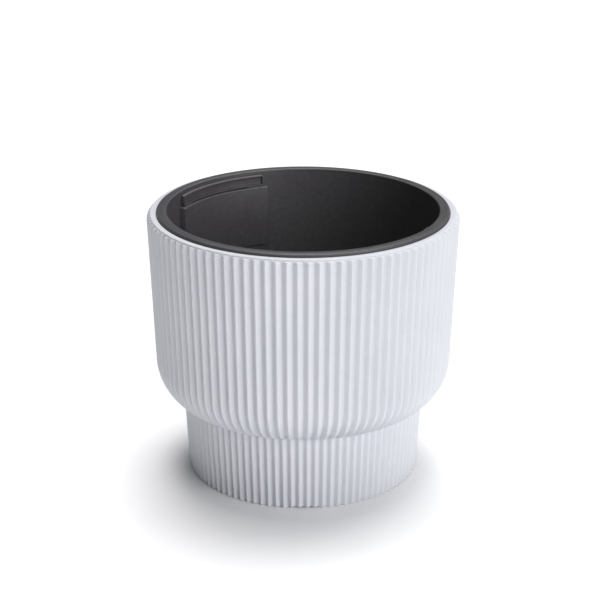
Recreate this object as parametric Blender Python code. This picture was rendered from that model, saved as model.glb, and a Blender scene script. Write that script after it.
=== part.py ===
"""Self-watering planter: ribbed cover pot with a foot, lift-out liner with two
pull-up handles, and the watering set (separator, wick cups, gauge, filler, drain plug).

Metres, +Z up. The origin is on the ground under the pot's axis, and the front is -Y.
"""
import math

import bmesh
import bpy
from mathutils import Matrix

# Overall sizes.
HEIGHT = 0.2640                 # ground to the top of the liner's rim
COVER_RADIUS = 0.1500           # rib crests at the top of the bowl
CLEARANCE = 0.0003              # between pieces that rest on each other
RUNNING_GAP = 0.0004            # on each side of a piece that slides

# Cover pot.
COVER_WALL = 0.0026
COVER_EDGE = 0.0095             # lip and ribs outside the liner's rim
BOWL_TAPER = math.radians(2.24)
RIB_COUNT = 96
RIB_DEPTH = 0.0030              # at the bowl's top; the ribs shrink with the pot's radius
LIP_DROP = 0.0026               # the liner's rim stands this far above the lip
LIP_BAND = 0.0016               # plain band above the rib ends
LIP_SETBACK = 0.0034            # lip's side behind the rib crests
RIB_RUNOUT = 0.0015
SEAT_WIDTH = 0.0052             # ledge that carries the liner's rim
SEAT_THICK = 0.0040
SEAT_FLARE = 0.0070
CORNER_WIDTH = 0.0413           # rounded bottom of the bowl, across and down
CORNER_DEPTH = 0.0450
CORNER_STEPS = 4
FOOT_HEIGHT = 0.0735
FOOT_INSET = 0.0320             # foot's top, behind the crests at the bowl's top
FOOT_TAPER = math.radians(3.3)
FLOOR_RISE = 0.0100
FLOOR_THICK = 0.0028
NOTCH_COUNT = 4                 # air notches in the foot's lower edge
NOTCH_WIDTH = 0.0290
NOTCH_HEIGHT = 0.0012

# Drain plug and its ring.
DRAIN_RADIUS = 0.0090
PLUG_HEAD_RADIUS = 0.0150
PLUG_HEAD_THICK = 0.0028
PLUG_STEM_RISE = 0.0008
PLUG_GRIP_LENGTH = 0.0225
PLUG_GRIP_WIDTH = 0.0040
PLUG_GRIP_DEPTH = 0.0028
SEAL_INNER_GAP = 0.0006
SEAL_WIDTH = 0.0036
SEAL_THICK = 0.0016

# Liner.
RIM_SIDE_GAP = 0.0005
RIM_WIDTH = 0.0097
RIM_THICK = 0.0062
LINER_WALL = 0.0022
LINER_TAPER = math.radians(1.2)
LINER_CORNER = 0.0300
LINER_CORNER_STEPS = 4
LINER_FLOOR_GAP = 0.0105        # liner's underside above the foot's top
LINER_SIDES = 72
WEEP_COUNT = 6
WEEP_RADIUS = 0.0025
WEEP_ORBIT = 0.0140

# Handles and the sleeves that guide them.
HANDLE_TURN = math.radians(133.0)
HANDLE_HALF = math.radians(24.4)
HANDLE_DROP = 0.0037            # bar's top below the rim's top
HANDLE_HEIGHT = 0.0110
HANDLE_DEPTH = 0.0039
HANDLE_FLANGE = 0.0017
HANDLE_WEB = 0.0014
HANDLE_LIFT = 0.0450
LEG_WIDTH = 0.0160
LEG_INSET = 0.0006              # leg's outer side inside the bar's end
LEG_THICK = 0.0020
LEG_SETBACK = 0.0003            # leg's face behind the bar's face
LEG_FOOT_WIDTH = 0.0035
LEG_FOOT_HEIGHT = 0.0050
LEG_ENGAGE = 0.0070             # leg's foot below the sleeve's top when pulled up
SLEEVE_HALF = math.radians(26.2)
SLEEVE_WALL = 0.0022
SLEEVE_GAP = 0.0007             # bar to sleeve when the handle is down
SLEEVE_SINK = 0.0007            # sleeve's back let into the liner's wall
BAR_STEPS = 12

# Separator.
SEPARATOR_OVERHANG = 0.0068     # plate's edge beyond the flat of the liner's floor
SEPARATOR_THICK = 0.0020
SKIRT_EDGE = 0.0022             # skirt's outside to the edge of the floor it stands on
SKIRT_GAP = 0.0015              # skirt's inside to the outermost tube
SKIRT_THICK = 0.0020
SKIRT_HEIGHT = 0.0080
HOLE_GAP = 0.0006               # round a cup or tube that passes through
AIR_SLOT_LENGTH = 0.0120
AIR_SLOT_WIDTH = 0.0034
AIR_SLOT_START = math.radians(30.0)     # from the filler to the first slot
AIR_SLOT_STEP = math.radians(20.0)
AIR_SLOT_COUNT = 13

# Wick cups and rods.
CUP_COUNT = 3
CUP_ORBIT = 0.0450
CUP_TURN = math.radians(80.0)
CUP_RADIUS = 0.0185
CUP_DRAFT = 0.0035              # the cup's base is this much slimmer
CUP_WALL = 0.0016
CUP_FLANGE_WIDTH = 0.0040
CUP_FLOOR_GAP = 0.0070          # cup's base above the reservoir's floor
CUP_WINDOW_RISE = 0.0050        # windows' lower edge above the cup's base
CUP_WINDOW_WIDTH = 0.0050
CUP_WINDOW_HEIGHT = 0.0260
WICK_RADIUS = 0.0045
WICK_RISE = 0.0150              # rod above the cup's flange

# Upright tubes.
TUBE_FLOOR_GAP = 0.0020         # tubes and rods above the reservoir's floor
TUBE_TOP_DROP = 0.0280          # highest piece of the gauge and filler below the rim
TUBE_WINDOW_WIDTH = 0.0060
TUBE_WINDOW_HEIGHT = 0.0140

# Water gauge.
GAUGE_TURN = math.radians(225.0)
GAUGE_RADIUS = 0.0105
GAUGE_WALL = 0.0015
GAUGE_WEB = 0.0020
FLOAT_GAP = 0.0008
FLOAT_HEIGHT = 0.0240
FLOAT_TRAVEL = 0.0420
CAP_HEADROOM = 0.0027           # above the flag when the float is at its highest
ROD_RADIUS = 0.0018
ROD_GAP = 0.0005
FLAG_RADIUS = 0.0042
FLAG_HEIGHT = 0.0035

# Filler.
FILLER_TURN = math.radians(262.0)
FILLER_RADIUS = 0.0140
FILLER_WALL = 0.0016
COLLAR_WIDTH = 0.0025
COLLAR_HEIGHT = 0.0060
LID_THICK = 0.0020
LID_TAB = 0.0050
KNUCKLE_RADIUS = 0.0024
KNUCKLE_LENGTH = 0.0050
KNUCKLE_REACH = 0.0036          # hinge axis beyond the collar
LUG_WIDTH = 0.0045
LID_STEP = 0.00002              # strap and tab inside the disc's two faces
PIN_RADIUS = 0.0010

ROUND_SIDES = 32
ROD_SIDES = 16

# Heights and radii that follow from the above.
FRONT = -math.pi / 2
LIP_Z = HEIGHT - LIP_DROP
SEAT_Z = HEIGHT - RIM_THICK - CLEARANCE
SEAT_RADIUS = COVER_RADIUS - COVER_EDGE
COVER_SKIN = COVER_WALL + RIB_DEPTH
FLOOR_TOP = FLOOR_RISE + FLOOR_THICK
FOOT_TOP_RADIUS = COVER_RADIUS - FOOT_INSET
RIM_RADIUS = SEAT_RADIUS - RIM_SIDE_GAP
RIM_INNER = RIM_RADIUS - RIM_WIDTH
LINER_BASE = FOOT_HEIGHT + LINER_FLOOR_GAP
LINER_FLOOR = LINER_BASE + LINER_WALL
BAR_TOP = HEIGHT - HANDLE_DROP
BAR_BASE = BAR_TOP - HANDLE_HEIGHT
WALL_BEHIND_BAR = RIM_INNER - (HEIGHT - BAR_BASE) * math.tan(LINER_TAPER)
BAR_BACK = WALL_BEHIND_BAR * math.cos(math.pi / LINER_SIDES) - RUNNING_GAP
BAR_FRONT = BAR_BACK - HANDLE_DEPTH
SLEEVE_TOP = BAR_BASE - SLEEVE_GAP
LEG_FOOT_TOP = SLEEVE_TOP - LEG_ENGAGE - HANDLE_LIFT
LEG_BASE = LEG_FOOT_TOP - LEG_FOOT_HEIGHT
SLEEVE_BASE = LEG_BASE - LEG_FOOT_HEIGHT
FLOOR_FLAT_RADIUS = (RIM_INNER - LINER_CORNER
                     - (HEIGHT - LINER_FLOOR - LINER_CORNER) * math.tan(LINER_TAPER))
SKIRT_OUTER = FLOOR_FLAT_RADIUS - SKIRT_EDGE
SKIRT_INNER = SKIRT_OUTER - SKIRT_THICK
SEPARATOR_RADIUS = FLOOR_FLAT_RADIUS + SEPARATOR_OVERHANG
SEPARATOR_BASE = LINER_FLOOR + CLEARANCE + SKIRT_HEIGHT
SEPARATOR_TOP = SEPARATOR_BASE + SEPARATOR_THICK
CUP_BASE = FLOOR_TOP + CUP_FLOOR_GAP
TUBE_ORBIT = SKIRT_INNER - SKIRT_GAP - max(GAUGE_RADIUS, FILLER_RADIUS)
TUBE_BASE = FLOOR_TOP + TUBE_FLOOR_GAP
TUBE_TOP = HEIGHT - TUBE_TOP_DROP
GAUGE_TUBE_TOP = TUBE_TOP - GAUGE_WALL - CAP_HEADROOM - FLOAT_TRAVEL - FLAG_HEIGHT - CLEARANCE
HINGE_X = FILLER_RADIUS + COLLAR_WIDTH + KNUCKLE_REACH
FILLER_TOP = TUBE_TOP - LID_THICK - CLEARANCE
HINGE_Z = FILLER_TOP + CLEARANCE + LID_THICK - KNUCKLE_RADIUS


def clear_scene():
    for thing in list(bpy.data.objects):
        bpy.data.objects.remove(thing, do_unlink=True)


# Mesh building blocks. Each adds one closed shape to a bmesh.

def spin_profile(bm, profile, sides, closed=True):
    """Turn a profile of (radius, z) points about Z into a surface."""
    verts = [bm.verts.new((radius, 0.0, z)) for radius, z in profile]
    edges = [bm.edges.new(pair) for pair in zip(verts, verts[1:])]
    if closed:
        edges.append(bm.edges.new((verts[-1], verts[0])))
    bmesh.ops.spin(bm, geom=verts + edges, cent=(0, 0, 0), axis=(0, 0, 1),
                   angle=math.tau, steps=sides, use_merge=True)
    bmesh.ops.remove_doubles(bm, verts=bm.verts[:], dist=1e-6)


def add_sector(bm, inner, outer, base, top, start, end, steps):
    """A block bent about Z between two radii, two heights and two angles."""
    corners = [(inner, base), (outer, base), (outer, top), (inner, top)]
    direction = (math.cos(start), math.sin(start))
    verts = [bm.verts.new((r * direction[0], r * direction[1], z)) for r, z in corners]
    face = bm.faces.new(verts)
    bmesh.ops.spin(bm, geom=[face], cent=(0, 0, 0), axis=(0, 0, 1),
                   angle=end - start, steps=steps)


def add_plate(bm, outline, front, back, turn):
    """A flat upright plate: an outline of (y, z) points, thick along its own X."""
    face = bm.faces.new([bm.verts.new((front, y, z)) for y, z in outline])
    grown = bmesh.ops.extrude_face_region(bm, geom=[face])["geom"]
    far_side = [item for item in grown if isinstance(item, bmesh.types.BMVert)]
    bmesh.ops.translate(bm, verts=far_side, vec=(back - front, 0.0, 0.0))
    bmesh.ops.rotate(bm, verts=list(face.verts) + far_side, cent=(0, 0, 0),
                     matrix=Matrix.Rotation(turn, 3, "Z"))


def add_cylinder(bm, radius, base, top, at=(0.0, 0.0), sides=ROUND_SIDES):
    place = Matrix.Translation((at[0], at[1], (base + top) / 2))
    bmesh.ops.create_cone(bm, cap_ends=True, segments=sides, radius1=radius, radius2=radius,
                          depth=top - base, matrix=place)


def add_bar(bm, radius, length, centre, sides=ROD_SIDES):
    """A cylinder that lies along Y."""
    place = Matrix.Translation(centre) @ Matrix.Rotation(math.pi / 2, 4, "X")
    bmesh.ops.create_cone(bm, cap_ends=True, segments=sides, radius1=radius, radius2=radius,
                          depth=length, matrix=place)


def add_box(bm, size, centre, turn=0.0):
    place = (Matrix.Rotation(turn, 4, "Z") @ Matrix.Translation(centre)
             @ Matrix.Diagonal((*size, 1.0)))
    bmesh.ops.create_cube(bm, size=1.0, matrix=place)


def on_circle(orbit, turn):
    return orbit * math.cos(turn), orbit * math.sin(turn)


# Objects and materials.

def plastic(name, colour, roughness, metallic=0.0, alpha=1.0):
    material = bpy.data.materials.new(name)
    material.use_nodes = True
    shader = material.node_tree.nodes["Principled BSDF"]
    shader.inputs["Base Color"].default_value = (*colour, 1.0)
    shader.inputs["Roughness"].default_value = roughness
    shader.inputs["Metallic"].default_value = metallic
    shader.inputs["Alpha"].default_value = alpha
    material.diffuse_color = (*colour, alpha)
    return material


def make_object(name, bm, material=None, parent=None, location=(0.0, 0.0, 0.0)):
    bmesh.ops.recalc_face_normals(bm, faces=bm.faces[:])
    mesh = bpy.data.meshes.new(name)
    bm.to_mesh(mesh)
    bm.free()
    mesh.shade_smooth()
    mesh.set_sharp_from_angle(angle=math.radians(35))
    if material:
        mesh.materials.append(material)
    thing = bpy.data.objects.new(name, mesh)
    bpy.context.collection.objects.link(thing)
    thing.parent = parent
    thing.location = location
    return thing


def make_place(name, turn, orbit=0.0):
    """An empty at an orbit round the pot's axis, its X pointing outwards."""
    place = bpy.data.objects.new(name, None)
    bpy.context.collection.objects.link(place)
    place.location = (*on_circle(orbit, turn), 0.0)
    place.rotation_euler = (0.0, 0.0, turn)
    return place


def combine(target, tool, operation):
    modifier = target.modifiers.new(tool.name, "BOOLEAN")
    modifier.operation = operation
    modifier.solver = "EXACT"
    modifier.object = tool
    tool.hide_render = True
    tool.display_type = "WIRE"


def turned_piece(name, profile, material, parent=None, closed=True, sides=ROUND_SIDES):
    bm = bmesh.new()
    spin_profile(bm, profile, sides, closed)
    return make_object(name, bm, material, parent)


def cut_crossed(target, size, z, turn, parent):
    """Four windows round a tube: two boxes through it, at right angles."""
    for number in range(2):
        bm = bmesh.new()
        add_box(bm, size, (0.0, 0.0, z), turn + number * math.pi / 2)
        window = make_object(f"{target.name}_window_{number}", bm, parent=parent)
        combine(target, window, "DIFFERENCE")


# Cover pot.

def bowl_radius(z):
    """Rib crests on the bowl's straight wall."""
    return COVER_RADIUS - (LIP_Z - z) * math.tan(BOWL_TAPER)


def foot_radius(z):
    """Rib crests on the foot."""
    return FOOT_TOP_RADIUS - (FOOT_HEIGHT - z) * math.tan(FOOT_TAPER)


def corner_start():
    """Height where the bowl's wall turns into its rounded bottom."""
    z = FOOT_HEIGHT + CORNER_DEPTH
    for _ in range(20):
        across = (FOOT_TOP_RADIUS - bowl_radius(z)) / CORNER_WIDTH + 1
        z = FOOT_HEIGHT + CORNER_DEPTH * math.sqrt(1 - across ** 2)
    return z


def corner_arc(skin):
    """The bowl's rounded bottom, a quarter ellipse that ends on the foot's wall."""
    start = corner_start()
    centre = bowl_radius(start) - CORNER_WIDTH
    across, down = CORNER_WIDTH - skin, CORNER_DEPTH - skin
    end = math.acos((FOOT_TOP_RADIUS - skin - centre) / across)
    angles = [end * step / CORNER_STEPS for step in range(CORNER_STEPS + 1)]
    return [(centre + across * math.cos(a), start - down * math.sin(a)) for a in angles]


def cover_outside():
    lip = COVER_RADIUS - LIP_SETBACK
    rib_end = LIP_Z - LIP_BAND
    top = rib_end - RIB_RUNOUT
    upper = [(lip, LIP_Z), (lip, rib_end), (bowl_radius(top), top)]
    return upper + corner_arc(0.0) + [(foot_radius(0.0), 0.0)]


def cover_inside():
    ledge = SEAT_RADIUS - SEAT_WIDTH
    under = SEAT_Z - SEAT_THICK
    flare = under - SEAT_FLARE
    profile = [(SEAT_RADIUS, LIP_Z), (SEAT_RADIUS, SEAT_Z), (ledge, SEAT_Z), (ledge, under),
               (bowl_radius(flare) - COVER_SKIN, flare)]
    profile += corner_arc(COVER_SKIN)
    profile += [(foot_radius(FLOOR_TOP) - COVER_SKIN, FLOOR_TOP), (DRAIN_RADIUS, FLOOR_TOP),
                (DRAIN_RADIUS, FLOOR_RISE), (foot_radius(FLOOR_RISE) - COVER_SKIN, FLOOR_RISE),
                (foot_radius(0.0) - COVER_SKIN, 0.0)]
    return profile


def face_outwards(bm):
    """Turn an open skin's faces away from the axis, judged on its largest face."""
    bm.normal_update()
    largest = max(bm.faces, key=lambda face: face.calc_area())
    if largest.normal.xy.dot(largest.calc_center_median().xy) < 0:
        bmesh.ops.reverse_faces(bm, faces=bm.faces[:])


def carve_grooves(bm):
    """Sink every second column of the outside, from the rib ends down to the ground.

    The depth follows the radius, so the ribs' sides keep their angle where they are narrower.
    """
    bm.normal_update()
    for vert in bm.verts:
        angle = math.atan2(vert.co.y, vert.co.x)
        groove = (1 + math.cos(RIB_COUNT * angle)) / 2
        if vert.co.z < LIP_Z - LIP_BAND - RIB_RUNOUT / 2:
            depth = RIB_DEPTH * vert.co.xy.length / COVER_RADIUS
            sink = vert.normal * depth * groove
            if vert.co.z < FLOOR_RISE:
                sink.z = 0.0
            vert.co -= sink


def close_edge(bm, z, outside):
    """Join the outside's open ring at a height to the inside's, which has half as many points."""
    ring = [vert for vert in bm.verts if vert.is_boundary and abs(vert.co.z - z) < CLEARANCE]
    ring.sort(key=lambda vert: math.atan2(vert.co.y, vert.co.x) % (math.tau - 1e-4))
    outer = [vert for vert in ring if vert in outside]
    inner = [vert for vert in ring if vert not in outside]
    for index, (here, following) in enumerate(zip(inner, inner[1:] + inner[:1])):
        first, second = outer[2 * index], outer[2 * index + 1]
        third = outer[(2 * index + 2) % len(outer)]
        bm.faces.new((first, second, here))
        bm.faces.new((second, following, here))
        bm.faces.new((second, third, following))


def cut_notches(bm):
    """Raise the foot's lower edge at evenly spaced places, one of them at the front."""
    half = NOTCH_WIDTH / 2 / foot_radius(0.0)
    spacing = math.tau / NOTCH_COUNT
    for vert in bm.verts:
        angle = math.atan2(vert.co.y, vert.co.x) - FRONT
        offset = (angle + spacing / 2) % spacing - spacing / 2
        if vert.co.z < NOTCH_HEIGHT / 2 and abs(offset) < half:
            vert.co.z = NOTCH_HEIGHT


def make_cover(material):
    bm = bmesh.new()
    spin_profile(bm, cover_outside(), 2 * RIB_COUNT, closed=False)
    face_outwards(bm)
    carve_grooves(bm)
    outside = set(bm.verts)
    spin_profile(bm, cover_inside(), RIB_COUNT, closed=False)
    close_edge(bm, LIP_Z, outside)
    close_edge(bm, 0.0, outside)
    bmesh.ops.rotate(bm, verts=bm.verts[:], cent=(0, 0, 0), matrix=Matrix.Rotation(FRONT, 3, "Z"))
    cut_notches(bm)
    return make_object("cover_pot", bm, material)


# Drain plug under the reservoir.

def make_drain(plug_material, seal_material):
    seal_base = FLOOR_RISE - CLEARANCE - SEAL_THICK
    stem = DRAIN_RADIUS - RUNNING_GAP
    inner = stem + SEAL_INNER_GAP
    outer = inner + SEAL_WIDTH
    turned_piece("drain_seal", [(inner, seal_base), (outer, seal_base), (outer, seal_base + SEAL_THICK),
                                (inner, seal_base + SEAL_THICK)], seal_material)
    head_top = seal_base - CLEARANCE
    head_base = head_top - PLUG_HEAD_THICK
    stem_top = FLOOR_TOP + PLUG_STEM_RISE
    plug = turned_piece("drain_plug", [(0.0, head_base), (PLUG_HEAD_RADIUS, head_base),
                                       (PLUG_HEAD_RADIUS, head_top), (stem, head_top),
                                       (stem, stem_top), (0.0, stem_top)],
                        plug_material, closed=False)
    grip = bmesh.new()
    grip_base, grip_top = head_base - PLUG_GRIP_DEPTH, head_base + PLUG_HEAD_THICK / 2
    add_box(grip, (PLUG_GRIP_LENGTH, PLUG_GRIP_WIDTH, grip_top - grip_base),
            (0.0, 0.0, (grip_top + grip_base) / 2))
    combine(plug, make_object("drain_plug_grip", grip), "UNION")


# Liner.

def liner_inner(z):
    return RIM_INNER - (HEIGHT - z) * math.tan(LINER_TAPER)


def liner_corner(skin):
    """Quarter round from the wall to the floor; skin is the wall's thickness outside it."""
    height = LINER_FLOOR + LINER_CORNER
    radius = LINER_CORNER + skin
    angles = [math.pi / 2 * step / LINER_CORNER_STEPS for step in range(LINER_CORNER_STEPS + 1)]
    return [(FLOOR_FLAT_RADIUS + radius * math.cos(a), height - radius * math.sin(a)) for a in angles]


def liner_profile():
    under_rim = HEIGHT - RIM_THICK
    inside = [(RIM_INNER, HEIGHT)] + liner_corner(0.0) + [(0.0, LINER_FLOOR)]
    outside = [(0.0, LINER_BASE)] + list(reversed(liner_corner(LINER_WALL)))
    rim = [(liner_inner(under_rim) + LINER_WALL, under_rim), (RIM_RADIUS, under_rim), (RIM_RADIUS, HEIGHT)]
    return inside, outside + rim


def add_leg_pair(bm, front, back, play, base, shoulder, top):
    """Two mirrored legs, or the pockets they run in: each a strip with a foot at its inner side."""
    reach = LEG_WIDTH / 2 + play
    foot = reach + LEG_FOOT_WIDTH
    outline = [(reach, base), (reach, top), (-reach, top), (-reach, shoulder),
               (-foot, shoulder), (-foot, base)]
    turn = HANDLE_HALF - (LEG_WIDTH / 2 + LEG_INSET) / BAR_FRONT
    add_plate(bm, outline, front, back, turn)
    add_plate(bm, [(-y, z) for y, z in outline], front, back, -turn)


def add_sleeve(liner, place, suffix):
    """A raised block on the wall, open below, with a pocket for each leg and a narrower mouth."""
    slot_front = BAR_FRONT + LEG_SETBACK - RUNNING_GAP
    slot_back = BAR_FRONT + LEG_SETBACK + LEG_THICK + RUNNING_GAP
    block = bmesh.new()
    add_sector(block, slot_front - SLEEVE_WALL, liner_inner(SLEEVE_TOP) + SLEEVE_SINK,
               SLEEVE_BASE, SLEEVE_TOP, -SLEEVE_HALF, SLEEVE_HALF, BAR_STEPS)
    combine(liner, make_object("sleeve_block" + suffix, block, parent=place), "UNION")
    pockets = bmesh.new()
    add_leg_pair(pockets, slot_front, slot_back, RUNNING_GAP, SLEEVE_BASE - LEG_FOOT_HEIGHT,
                 LEG_FOOT_TOP + HANDLE_LIFT + CLEARANCE, SLEEVE_TOP + LEG_FOOT_HEIGHT)
    combine(liner, make_object("sleeve_pockets" + suffix, pockets, parent=place), "DIFFERENCE")


def cup_places():
    return [on_circle(CUP_ORBIT, CUP_TURN + math.tau * index / CUP_COUNT) for index in range(CUP_COUNT)]


def cup_radius(z):
    """Outside of a wick cup, slimmer towards its base."""
    return CUP_RADIUS - CUP_DRAFT * (SEPARATOR_TOP - z) / (SEPARATOR_TOP - CUP_BASE)


def add_passages(bm, base, top):
    """Cutters for everything that passes through a floor between two heights."""
    for place in cup_places():
        add_cylinder(bm, cup_radius(top) + HOLE_GAP, base, top, place)
    add_cylinder(bm, GAUGE_RADIUS + HOLE_GAP, base, top, on_circle(TUBE_ORBIT, GAUGE_TURN))
    add_cylinder(bm, FILLER_RADIUS + HOLE_GAP, base, top, on_circle(TUBE_ORBIT, FILLER_TURN))
    for index in range(WEEP_COUNT):
        add_cylinder(bm, WEEP_RADIUS, base, top, on_circle(WEEP_ORBIT, math.tau * index / WEEP_COUNT), 8)


def make_liner(material, places):
    inside, outside = liner_profile()
    bm = bmesh.new()
    spin_profile(bm, inside + outside, LINER_SIDES, closed=True)
    liner = make_object("liner", bm, material)
    for index, place in enumerate(places, start=1):
        add_sleeve(liner, place, f"_{index}")
    holes = bmesh.new()
    add_passages(holes, LINER_BASE - LINER_WALL, LINER_FLOOR + LINER_WALL)
    combine(liner, make_object("liner_holes", holes), "DIFFERENCE")


# Handles.

def make_handle(name, material, place):
    bar = bmesh.new()
    add_sector(bar, BAR_FRONT, BAR_BACK, BAR_BASE, BAR_TOP, -HANDLE_HALF, HANDLE_HALF, BAR_STEPS)
    handle = make_object(name, bar, material, place)
    end_wall = HANDLE_FLANGE / BAR_FRONT
    recess = bmesh.new()
    add_sector(recess, BAR_FRONT - HANDLE_DEPTH, BAR_BACK - HANDLE_WEB, BAR_BASE + HANDLE_FLANGE,
               BAR_TOP - HANDLE_FLANGE, end_wall - HANDLE_HALF, HANDLE_HALF - end_wall, BAR_STEPS)
    combine(handle, make_object(name + "_recess", recess, parent=place), "DIFFERENCE")
    front = BAR_FRONT + LEG_SETBACK
    legs = bmesh.new()
    add_leg_pair(legs, front, front + LEG_THICK, 0.0, LEG_BASE, LEG_FOOT_TOP, BAR_BASE + HANDLE_FLANGE / 2)
    combine(handle, make_object(name + "_legs", legs, parent=place), "UNION")


# Separator and wick cups.

def make_separator(material):
    foot_base = LINER_FLOOR + CLEARANCE
    plate = turned_piece("separator_plate",
                         [(0.0, SEPARATOR_BASE), (SKIRT_INNER, SEPARATOR_BASE), (SKIRT_INNER, foot_base),
                          (SKIRT_OUTER, foot_base), (SKIRT_OUTER, SEPARATOR_BASE),
                          (SEPARATOR_RADIUS, SEPARATOR_BASE), (SEPARATOR_RADIUS, SEPARATOR_TOP),
                          (0.0, SEPARATOR_TOP)], material, closed=False, sides=48)
    holes = bmesh.new()
    base, top = SEPARATOR_BASE - SEPARATOR_THICK, SEPARATOR_TOP + SEPARATOR_THICK
    add_passages(holes, base, top)
    slot_size = (AIR_SLOT_LENGTH, AIR_SLOT_WIDTH, top - base)
    for index in range(AIR_SLOT_COUNT):
        turn = FILLER_TURN + AIR_SLOT_START + index * AIR_SLOT_STEP
        add_box(holes, slot_size, (TUBE_ORBIT, 0.0, (top + base) / 2), turn)
    combine(plate, make_object("separator_holes", holes), "DIFFERENCE")


def make_cup(index, place, cup_material, wick_material):
    centre = bpy.data.objects.new(f"cup_place_{index}", None)
    bpy.context.collection.objects.link(centre)
    centre.location = (*place, 0.0)
    flange_base = SEPARATOR_TOP + CLEARANCE
    flange_top = flange_base + CUP_WALL
    mouth, base = cup_radius(SEPARATOR_TOP), cup_radius(CUP_BASE)
    rod_hole = WICK_RADIUS + CLEARANCE
    profile = [(rod_hole, CUP_BASE), (base, CUP_BASE), (mouth, flange_base),
               (mouth + CUP_FLANGE_WIDTH, flange_base), (mouth + CUP_FLANGE_WIDTH, flange_top),
               (mouth - CUP_WALL, flange_top), (base - CUP_WALL, CUP_BASE + CUP_WALL),
               (rod_hole, CUP_BASE + CUP_WALL)]
    cup = turned_piece(f"wick_cup_{index}", profile, cup_material, centre)
    middle = CUP_BASE + CUP_WINDOW_RISE + CUP_WINDOW_HEIGHT / 2
    size = (3 * CUP_RADIUS, CUP_WINDOW_WIDTH, CUP_WINDOW_HEIGHT)
    cut_crossed(cup, size, middle, math.pi / 4, centre)
    turned_piece(f"wick_rod_{index}", [(0.0, TUBE_BASE), (WICK_RADIUS, TUBE_BASE),
                                       (WICK_RADIUS, flange_top + WICK_RISE), (0.0, flange_top + WICK_RISE)],
                 wick_material, centre, closed=False, sides=ROD_SIDES)


# Water gauge.

def make_gauge(tube_material, float_material, flag_material, clear_material, place):
    bore = GAUGE_RADIUS - GAUGE_WALL
    rod_hole = ROD_RADIUS + ROD_GAP
    web_base = GAUGE_TUBE_TOP - GAUGE_WEB
    tube = turned_piece("gauge_tube",
                        [(bore, TUBE_BASE), (GAUGE_RADIUS, TUBE_BASE), (GAUGE_RADIUS, GAUGE_TUBE_TOP),
                         (rod_hole, GAUGE_TUBE_TOP), (rod_hole, web_base), (bore, web_base)],
                        tube_material, place)
    window = (3 * GAUGE_RADIUS, TUBE_WINDOW_WIDTH, 2 * TUBE_WINDOW_HEIGHT)
    cut_crossed(tube, window, TUBE_BASE, math.pi / 4, place)

    cap_base = GAUGE_TUBE_TOP + CLEARANCE
    turned_piece("gauge_cap", [(0.0, TUBE_TOP - GAUGE_WALL), (bore, TUBE_TOP - GAUGE_WALL), (bore, cap_base),
                               (GAUGE_RADIUS, cap_base), (GAUGE_RADIUS, TUBE_TOP), (0.0, TUBE_TOP)],
                 clear_material, place, closed=False)

    float_base = TUBE_BASE + CLEARANCE
    float_top = float_base + FLOAT_HEIGHT
    turned_piece("gauge_float", [(0.0, float_base), (bore - FLOAT_GAP, float_base),
                                 (bore - FLOAT_GAP, float_top), (0.0, float_top)],
                 float_material, place, closed=False, sides=24)

    flag_base = GAUGE_TUBE_TOP + CLEARANCE
    flag_top = flag_base + FLAG_HEIGHT
    turned_piece("gauge_rod", [(0.0, float_top + CLEARANCE), (ROD_RADIUS, float_top + CLEARANCE),
                               (ROD_RADIUS, flag_base), (FLAG_RADIUS, flag_base),
                               (FLAG_RADIUS, flag_top), (0.0, flag_top)],
                 flag_material, place, closed=False, sides=ROD_SIDES)


# Filler shaft with its hinged lid.

def make_filler(tube_material, lid_material, pin_material, place):
    bore = FILLER_RADIUS - FILLER_WALL
    collar = FILLER_RADIUS + COLLAR_WIDTH
    collar_base = FILLER_TOP - COLLAR_HEIGHT
    tube = turned_piece("filler_tube",
                        [(bore, TUBE_BASE), (FILLER_RADIUS, TUBE_BASE), (FILLER_RADIUS, collar_base),
                         (collar, collar_base), (collar, FILLER_TOP), (bore, FILLER_TOP)],
                        tube_material, place)
    window = (3 * FILLER_RADIUS, TUBE_WINDOW_WIDTH, 2 * TUBE_WINDOW_HEIGHT)
    cut_crossed(tube, window, TUBE_BASE, math.pi / 4, place)
    pin_hole = PIN_RADIUS + CLEARANCE
    side_y = KNUCKLE_LENGTH + CLEARANCE
    for side in (-1, 1):
        knuckle = bmesh.new()
        add_bar(knuckle, KNUCKLE_RADIUS, KNUCKLE_LENGTH, (HINGE_X, side * side_y, HINGE_Z))
        combine(tube, make_object(f"filler_knuckle_{side + 1}", knuckle, parent=place), "UNION")
        lug = bmesh.new()
        lug_length = HINGE_X - FILLER_RADIUS
        lug_top = FILLER_TOP - CLEARANCE
        lug_base = HINGE_Z - KNUCKLE_RADIUS / 2
        add_box(lug, (lug_length, LUG_WIDTH, lug_top - lug_base),
                (HINGE_X - lug_length / 2, side * side_y, (lug_top + lug_base) / 2))
        combine(tube, make_object(f"filler_lug_{side + 1}", lug, parent=place), "UNION")
    bore_cutter = bmesh.new()
    add_bar(bore_cutter, pin_hole, 4 * KNUCKLE_LENGTH, (HINGE_X, 0.0, HINGE_Z))
    combine(tube, make_object("filler_pin_bore", bore_cutter, parent=place), "DIFFERENCE")

    pin = bmesh.new()
    add_bar(pin, PIN_RADIUS, 3 * KNUCKLE_LENGTH + 2 * CLEARANCE, (HINGE_X, 0.0, HINGE_Z))
    make_object("filler_hinge_pin", pin, pin_material, place)
    make_lid(lid_material, collar, pin_hole, place)


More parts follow.
